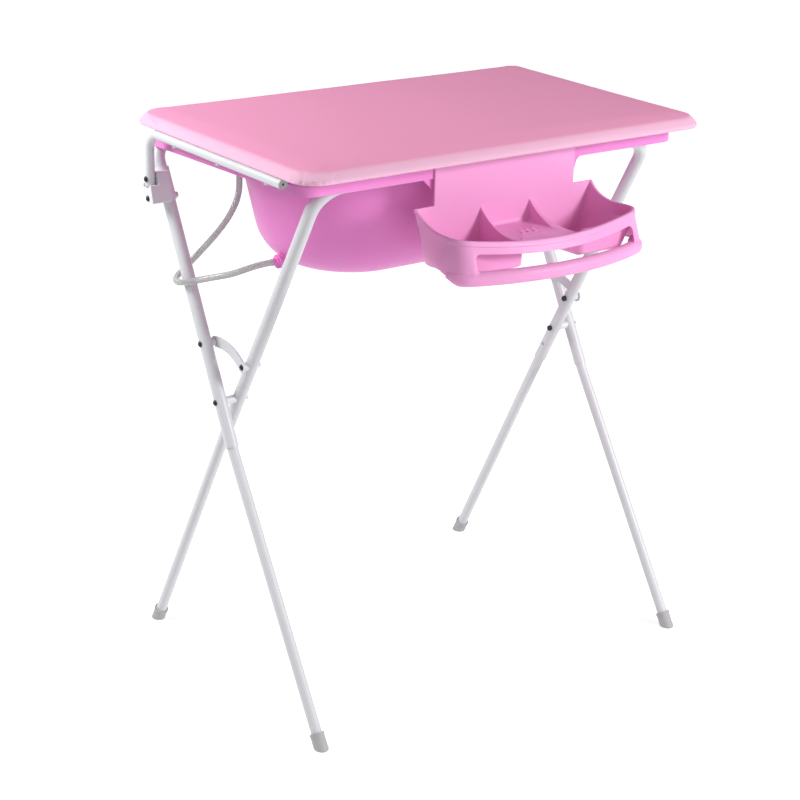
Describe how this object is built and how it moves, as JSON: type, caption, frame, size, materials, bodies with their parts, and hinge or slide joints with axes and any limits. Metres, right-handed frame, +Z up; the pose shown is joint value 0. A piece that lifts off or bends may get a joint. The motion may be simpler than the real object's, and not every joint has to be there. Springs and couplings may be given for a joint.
{
  "type": "changing table with bathtub",
  "caption": "Folding scissor-leg stand with a plastic baby bathtub, hook-on accessory tray, drain hose and a padded changing top that tilts up.",
  "frame": {"origin": "centre of the bounding box on the floor plane", "axes": "+X along the long side, -Y towards the front with the tray, +Z up"},
  "size_m": [0.8638, 0.6992, 0.9826],
  "materials": {
    "white_paint": "satin powder coat",
    "grey_cap": "matt",
    "white_plastic": "satin moulded",
    "pink_plastic": "soft gloss moulded",
    "pink_vinyl": "glossy padded vinyl",
    "board": "bare fibreboard",
    "black_bolt": "black oxide",
    "steel": "zinc plated",
    "clear_hose": "clear soft PVC"
  },
  "bodies": {
    "stand": {"bathtub": "pink_plastic", "accessory_tray": "pink_plastic", "drain_spout": "pink_plastic", "hose_clip": "pink_plastic", "drain_hose": "clear_hose", "outer_frame": "white_paint", "inner_frame": "white_paint", "lower_leg_outer_left": "white_paint", "lower_leg_outer_right": "white_paint", "lower_leg_inner_left": "white_paint", "lower_leg_inner_right": "white_paint", "foot_outer_left": "grey_cap", "foot_outer_right": "grey_cap", "foot_inner_left": "grey_cap", "foot_inner_right": "grey_cap", "hinge_bracket_left": "white_plastic", "hinge_bracket_right": "white_plastic", "hinge_pins": "black_bolt", "bracket_bolts": "black_bolt", "scissor_bolts": "black_bolt", "lock_pivot_bolts": "black_bolt", "lock_catch_bolts": "black_bolt", "scissor_spacers": "white_plastic", "lock_spacers": "white_plastic", "snap_buttons": "steel"},
    "changing_lid": {"changing_pad": "pink_vinyl", "changing_board": "board", "lid_arm_left": "white_paint", "lid_arm_right": "white_paint", "arm_screws": "steel", "arm_end_plugs": "grey_cap"},
    "lock_left": {"lock_link_left": "white_paint"},
    "lock_right": {"lock_link_right": "white_paint"}
  },
  "joints": [
    {"name": "lid_tilt", "type": "hinge", "parent": "stand", "child": "changing_lid", "pos_m": [0, 0.23638, 0.868], "axis": [-1, 0, 0], "range_deg": [0, 92]},
    {"name": "lock_left_lift", "type": "hinge", "parent": "stand", "child": "lock_left", "pos_m": [-0.37409, 0.02996, 0.58405], "axis": [1, 0, 0], "range_deg": [0, 95]},
    {"name": "lock_right_lift", "type": "hinge", "parent": "stand", "child": "lock_right", "pos_m": [0.37409, 0.02996, 0.58405], "axis": [1, 0, 0], "range_deg": [0, 95]}
  ]
}
